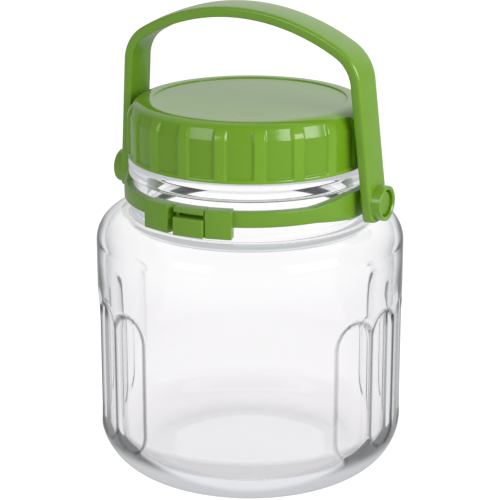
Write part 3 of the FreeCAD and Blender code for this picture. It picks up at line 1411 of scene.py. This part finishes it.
    def bore(self) -> Solid:
        """What is taken out of a boss on the +X side: its pin hole and its flared socket.

        Returns:
            The mesh.
        """
        start = self.half_width - self.thickness - CUT_PAST
        outline = [
            (0, start),
            (self.hole_radius, start),
            (self.hole_radius, self.socket_x),
            (self.socket_radius, self.socket_x),
            (self.socket_radius, self.boss_end - self.boss_edge),
            (self.socket_radius + self.boss_edge + CUT_PAST, self.boss_end + CUT_PAST),
            (0, self.boss_end + CUT_PAST),
        ]
        return turned_about_pivot(outline, self.pivot_z, self.boss_steps)

    def build(self) -> Solid:
        """Joins the strip and its bosses, bores them and leans the whole forward.

        Returns:
            The mesh.
        """
        bm = self.bail()
        boss = self.boss()
        bore = self.bore()
        for tool, cut in (
            (mirrored_in_x(boss), Cut.JOIN),
            (boss, Cut.JOIN),
            (mirrored_in_x(bore), Cut.REMOVE),
            (bore, Cut.REMOVE),
        ):
            bm = worked(bm, tool, cut)
        lean = Matrix.Rotation(math.radians(self.lean), 3, "X")
        bmesh.ops.rotate(bm, cent=(0, 0, self.pivot_z), matrix=lean, verts=bm.verts)
        return bm

    def dress(self) -> Piece:
        """Finishes the handle and ties it to the frame."""
        piece = finished_piece("carry_handle", self.build(), self.finish.material())
        return stand_for(piece, Body.HANDLE, "green_handle", "handle")


# ---- the studio


@dataclass(frozen=True)
class Lamp:
    """A soft rectangular lamp: its turn from the camera towards the right, its rise, size and watts."""

    name: str
    turn: float
    rise: float
    size: tuple[float, float]
    power: float


@dataclass
class Studio:
    """A white sweep under soft lamps, and the camera."""

    target_z: float = 99.9 * MM
    camera_turn: float = 29.7
    camera_rise: float = 17.27
    camera_distance: float = 840 * MM
    lens: float = 132.8
    sensor: float = 36.0
    view_from: float = 0.01
    view_to: float = 50.0
    lamps: tuple[Lamp, ...] = (
        Lamp("key_lamp", 48, 25, (0.6, 0.36), 4.7),
        Lamp("side_lamp", -43, 24, (0.42, 0.3), 1.25),
    )
    lamp_distance: float = 0.9
    floor_radius: float = 4.0
    floor_drop: float = 0.05 * MM
    floor_white: Colour = (0.86, 0.86, 0.86, 1)
    floor_mottle: Colour = (0.85, 0.85, 0.85, 1)
    mottle_scale: float = 3.0
    floor_roughness: float = 0.9
    floor_glow: float = 1.34
    floor_glow_share: float = 0.74
    ambient: float = 0.5
    mirrored: float = 0.4
    mirrored_behind: float = 1.2
    backdrop_turn: float = 162.0
    backdrop_rise: float = 42.0
    backdrop_from: float = 0.6
    backdrop_to: float = 0.97
    white: Colour = (1, 1, 1, 1)
    overhead: Colour = (0.4, 0.4, 0.43, 1)
    overhead_from: float = 0.5
    overhead_to: float = 1.0
    overhead_mirrored_from: float = 0.88
    overhead_mirrored_to: float = 0.98

    def towards(self, turn: float, rise: float) -> Vector:
        """A direction by its turn from -Y towards +X and its rise, in degrees."""
        a, e = math.radians(turn), math.radians(rise)
        return Vector((math.sin(a) * math.cos(e), -math.cos(a) * math.cos(e), math.sin(e)))

    def brightness(self, sheet: NodeSheet, mirrored: object) -> Socket:
        """How bright the surroundings are for each kind of ray.

        Args:
            sheet: The node tree to wire.
            mirrored: The level in a reflection, a number or a socket.

        Returns:
            A socket: 1 where the surroundings are looked at, directly or through the glass, the mirrored
            level in a reflection, and the plain level for lighting the jar.
        """
        path = sheet.add("ShaderNodeLightPath")
        mirror = sheet.math("MULTIPLY", path.outputs["Is Glossy Ray"], mirrored)
        lit = sheet.math("MULTIPLY", path.outputs["Is Diffuse Ray"], self.ambient)
        seen = sheet.math("MAXIMUM", path.outputs["Is Camera Ray"], path.outputs["Is Transmission Ray"])
        return sheet.math("MAXIMUM", seen, sheet.math("MAXIMUM", mirror, lit))

    def dress_world(self) -> None:
        """A white surround with a dim ceiling, brightest behind the jar in a reflection."""
        world = bpy.data.worlds.new("white_surround")
        world.use_nodes = True
        bpy.context.scene.world = world
        sheet = NodeSheet(world.node_tree)
        sheet.tree.nodes.clear()
        outward = sheet.add("ShaderNodeTexCoord").outputs["Generated"]
        parts = sheet.add("ShaderNodeSeparateXYZ")
        sheet.link(outward, parts.inputs[0])
        path = sheet.add("ShaderNodeLightPath")
        dims = [
            sheet.math("MULTIPLY", sheet.ramp(parts.outputs["Z"], low, high), path.outputs[ray])
            for ray, low, high in (
                ("Is Diffuse Ray", self.overhead_from, self.overhead_to),
                ("Is Glossy Ray", self.overhead_mirrored_from, self.overhead_mirrored_to),
            )
        ]
        dimness = sheet.math("MAXIMUM", *dims)
        behind = sheet.add("ShaderNodeVectorMath", operation="DOT_PRODUCT")
        backdrop = self.towards(self.camera_turn + self.backdrop_turn, self.backdrop_rise)
        for socket, value in zip(behind.inputs, (outward, backdrop)):
            sheet.feed(value, socket)
        level = sheet.ramp(
            behind.outputs["Value"], self.backdrop_from, self.backdrop_to, self.mirrored, self.mirrored_behind
        )
        background = sheet.add("ShaderNodeBackground")
        sheet.link(sheet.mix_colour(dimness, self.white, self.overhead), background.inputs["Color"])
        sheet.link(self.brightness(sheet, level), background.inputs["Strength"])
        output = sheet.add("ShaderNodeOutputWorld")
        sheet.link(background.outputs[0], output.inputs["Surface"])

    def floor_material(self) -> bpy.types.Material:
        """Matt white that keeps a soft shadow and runs into the surround.

        Returns:
            The material.
        """
        material, sheet, shader, output = new_material("white_sweep")
        shader.inputs["Roughness"].default_value = self.floor_roughness
        shader.inputs["Specular IOR Level"].default_value = 0.0
        mottle = sheet.spread(sheet.noise(self.mottle_scale), 0, 1)
        sheet.link(sheet.mix_colour(mottle, self.floor_white, self.floor_mottle), shader.inputs["Base Color"])
        path = sheet.add("ShaderNodeLightPath")
        seen = sheet.math("SUBTRACT", 1.0, path.outputs["Is Diffuse Ray"])
        glow = sheet.add("ShaderNodeEmission", Color=self.white)
        strength = sheet.math("MULTIPLY", self.brightness(sheet, self.mirrored), self.floor_glow)
        sheet.link(strength, glow.inputs["Strength"])
        share = sheet.math("MULTIPLY", seen, self.floor_glow_share)
        sheet.link(sheet.mix_shader(share, shader, glow).outputs[0], output.inputs["Surface"])
        return material

    def lay_floor(self) -> None:
        """The sweep's floor, a hair under the jar."""
        bm = bmesh.new()
        bmesh.ops.create_circle(bm, cap_ends=True, segments=96, radius=self.floor_radius)
        bmesh.ops.translate(bm, vec=(0, 0, -self.floor_drop), verts=bm.verts)
        finished_piece("white_floor", bm, self.floor_material())

    def hang(self, name: str, data: bpy.types.ID, turn: float, rise: float, distance: float) -> Piece:
        """Hangs a lamp or the camera, aimed at the jar.

        Args:
            name: Its name.
            data: The lamp's or the camera's settings.
            turn: Its place round the jar, from the camera towards the right.
            rise: Its height angle.
            distance: How far it is from the jar.

        Returns:
            Its object.
        """
        obj = bpy.data.objects.new(name, data)
        away = self.towards(self.camera_turn + turn, rise)
        obj.location = Vector((0, 0, self.target_z)) + away * distance
        obj.rotation_euler = away.to_track_quat("Z", "Y").to_euler()
        bpy.context.scene.collection.objects.link(obj)
        return obj

    def hang_lamps(self) -> None:
        """The key lamp from the right and a smaller one from the left."""
        for lamp in self.lamps:
            data = bpy.data.lights.new(lamp.name, "AREA")
            data.shape = "RECTANGLE"
            data.size, data.size_y = lamp.size
            data.energy = lamp.power
            self.hang(lamp.name, data, lamp.turn, lamp.rise, self.lamp_distance)

    def set_camera(self) -> None:
        """The camera, a little above and to the right of the clasp."""
        data = bpy.data.cameras.new("camera")
        data.lens = self.lens
        data.sensor_width = self.sensor
        data.clip_start, data.clip_end = self.view_from, self.view_to
        camera = self.hang("camera", data, 0, self.camera_rise, self.camera_distance)
        bpy.context.scene.camera = camera

    def build(self) -> None:
        """Sets everything round the jar."""
        bpy.context.scene.view_settings.view_transform = "Standard"
        self.dress_world()
        self.lay_floor()
        self.hang_lamps()
        self.set_camera()


def main() -> None:
    """Builds the jar's pieces in order, then the studio."""
    logging.basicConfig(level=logging.INFO, format="%(name)s %(message)s")
    pivot_z = frame["joints"][0]["pos_m"][2] if frame["joints"] else USUAL_PIVOT_Z
    glass_low, glass_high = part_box("glass_jar")
    lid_low, lid_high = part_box("lid")
    GlassJar(radius=glass_high.x - HAIR, rim_z=glass_high.z).dress()
    Lid(radius=lid_high.x, low=lid_low.z, high=lid_high.z).dress()
    NeckStrap(pivot_z=pivot_z).dress()
    CarryHandle(pivot_z=pivot_z).dress()
    Studio().build()


if __name__ == "__main__":
    main()
